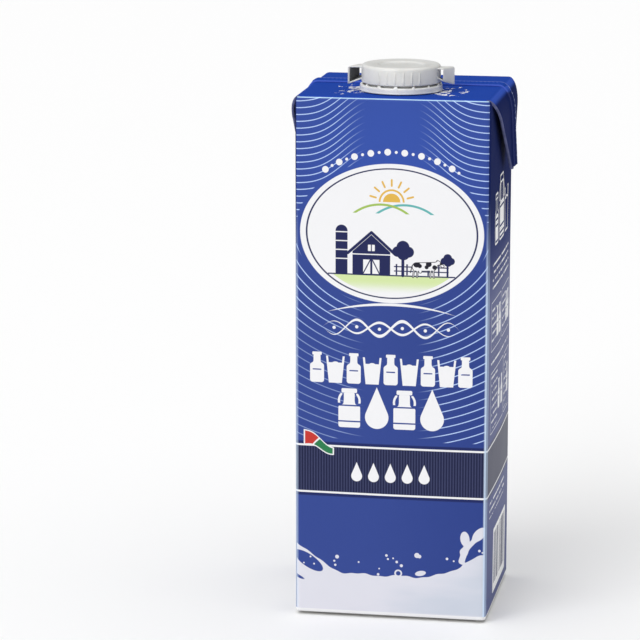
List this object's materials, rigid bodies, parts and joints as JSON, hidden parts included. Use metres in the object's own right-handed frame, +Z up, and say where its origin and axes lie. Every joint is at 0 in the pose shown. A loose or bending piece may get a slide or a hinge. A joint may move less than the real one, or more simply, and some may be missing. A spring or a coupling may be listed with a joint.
{
  "type": "milk carton",
  "caption": "Tall brick carton of milk with folded top ears, a flattened seal fin and a round screw cap with two side grips.",
  "frame": {"origin": "middle of the base, on the surface that the carton stands on", "axes": "+Z up, front panel facing -Y, side panels facing -X and +X"},
  "size_m": [0.0844, 0.0698, 0.2122],
  "materials": {
    "printed_board": "glossy laminated board, printed royal blue",
    "cap_plastic": "satin moulded off-white",
    "ring_plastic": "satin moulded off-white"
  },
  "bodies": {
    "root": {"carton": "printed_board", "screw_cap": "cap_plastic", "cap_ring": "ring_plastic"}
  },
  "joints": []
}
